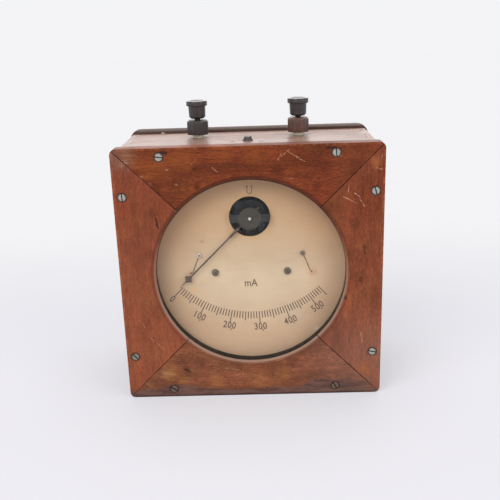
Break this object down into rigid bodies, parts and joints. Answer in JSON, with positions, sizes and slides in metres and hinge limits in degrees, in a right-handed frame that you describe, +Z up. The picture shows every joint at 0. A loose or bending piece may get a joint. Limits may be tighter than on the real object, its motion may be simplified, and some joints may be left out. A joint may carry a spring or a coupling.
{
  "type": "ammeter",
  "caption": "Square wooden case with a round glazed window over a cream scale and a swinging needle, and screw terminals on top, for reading electric current.",
  "frame": {"origin": "bottom centre of the whole object: on the surface it stands on, midway across its width and its depth", "axes": "+Z up, -Y out of the dial towards the reader, +X to the right as the dial is read"},
  "size_m": [0.202, 0.104, 0.2263],
  "materials": {
    "front_mahogany": "varnished mahogany, worn, with fine scratches and dark stains",
    "case_mahogany": "varnished mahogany, satin",
    "back_mahogany": "dark varnished mahogany, satin",
    "grey_steel": "dull grey steel, slightly stained",
    "black_iron": "blackened iron and magnet steel",
    "black_lacquer": "black lacquered brass",
    "black_aluminium": "brown-black lacquered aluminium",
    "plain_aluminium": "plain aluminium",
    "pale_brass": "pale lacquered brass",
    "black_ebonite": "dull grey-black ebonite",
    "brown_ebonite": "ebonite faded to brown",
    "dial_paper": "zinc faced with cream paper, darker towards the rim",
    "clear_glass": "clear plate glass",
    "enamel_copper": "enamelled copper wire"
  },
  "bodies": {
    "case": {"frame_top": "front_mahogany", "frame_bottom": "front_mahogany", "frame_left": "front_mahogany", "frame_right": "front_mahogany", "frame_screws": "grey_steel", "case_top": "case_mahogany", "case_bottom": "case_mahogany", "case_left": "case_mahogany", "case_right": "case_mahogany", "case_nails": "grey_steel", "back_board": "back_mahogany", "back_screws": "grey_steel", "window_glass": "clear_glass", "glass_ring": "black_lacquer", "scale_plate": "dial_paper", "dial_pillars": "pale_brass", "dial_screws": "grey_steel", "stop_screws": "grey_steel", "left_stop_wire": "pale_brass", "right_stop_wire": "pale_brass", "magnet": "black_iron", "magnet_screws": "grey_steel", "left_pole": "black_iron", "right_pole": "black_iron", "pole_screws": "grey_steel", "iron_core": "black_iron", "core_keeper": "pale_brass", "movement_plate": "pale_brass", "movement_posts": "pale_brass", "front_bridge": "black_lacquer", "bridge_disc": "grey_steel", "front_jewel_screw": "pale_brass", "rear_bridge": "black_lacquer", "rear_jewel_screw": "pale_brass", "front_hairspring": "pale_brass", "zero_collar": "black_lacquer", "left_washer": "pale_brass", "left_base": "black_ebonite", "left_stud": "pale_brass", "left_nut": "pale_brass", "right_washer": "pale_brass", "right_base": "brown_ebonite", "right_stud": "pale_brass", "right_nut": "pale_brass", "shunt_bobbin": "black_lacquer", "shunt_winding": "enamel_copper", "left_lead": "black_ebonite", "right_lead": "black_ebonite"},
    "movement": {"coil_former": "plain_aluminium", "coil_winding": "enamel_copper", "coil_staffs": "grey_steel", "pointer": "black_aluminium", "balance_weights": "pale_brass"},
    "zero_lever": {"zero_lever": "pale_brass", "rear_hairspring": "pale_brass"},
    "zero_adjuster": {"zero_adjuster": "black_lacquer"},
    "left_bush": {"left_bush": "pale_brass"},
    "left_knob": {"left_knob": "black_ebonite"},
    "right_bush": {"right_bush": "pale_brass"},
    "right_knob": {"right_knob": "black_ebonite"}
  },
  "joints": [
    {"name": "pointer_swing", "type": "hinge", "parent": "case", "child": "movement", "pos_m": [0, -0.022, 0.1433], "axis": [0, -1, 0], "range_deg": [0, 90.7], "stiffness_Nm_per_rad": 0.0001},
    {"name": "zero_adjuster_turn", "type": "hinge", "parent": "case", "child": "zero_adjuster", "pos_m": [0, -0.007, 0.197], "axis": [0, 0, 1], "range_deg": [-40, 40]},
    {"name": "zero_lever_swing", "type": "hinge", "parent": "case", "child": "zero_lever", "pos_m": [0, -0.0044, 0.1433], "axis": [0, 1, 0], "range_deg": [-1.94, 1.94]},
    {"name": "left_knob_lift", "type": "slide", "parent": "case", "child": "left_bush", "axis": [0, 0, 1], "range_m": [-0.0011, 0.005]},
    {"name": "left_knob_turn", "type": "hinge", "parent": "left_bush", "child": "left_knob", "pos_m": [-0.0403, 0.016, 0.215], "axis": [0, 0, 1], "range_deg": [-496, 2251]},
    {"name": "right_knob_lift", "type": "slide", "parent": "case", "child": "right_bush", "axis": [0, 0, 1], "range_m": [-0.0011, 0.005]},
    {"name": "right_knob_turn", "type": "hinge", "parent": "right_bush", "child": "right_knob", "pos_m": [0.0403, 0.016, 0.215], "axis": [0, 0, 1], "range_deg": [-496, 2251]}
  ],
  "couplings": [
    {"joint": "zero_lever_swing", "follows": "zero_adjuster_turn", "ratio": 0.04829},
    {"joint": "left_knob_turn", "follows": "left_knob_lift", "rad_per_m": 7854},
    {"joint": "right_knob_turn", "follows": "right_knob_lift", "rad_per_m": 7854}
  ]
}
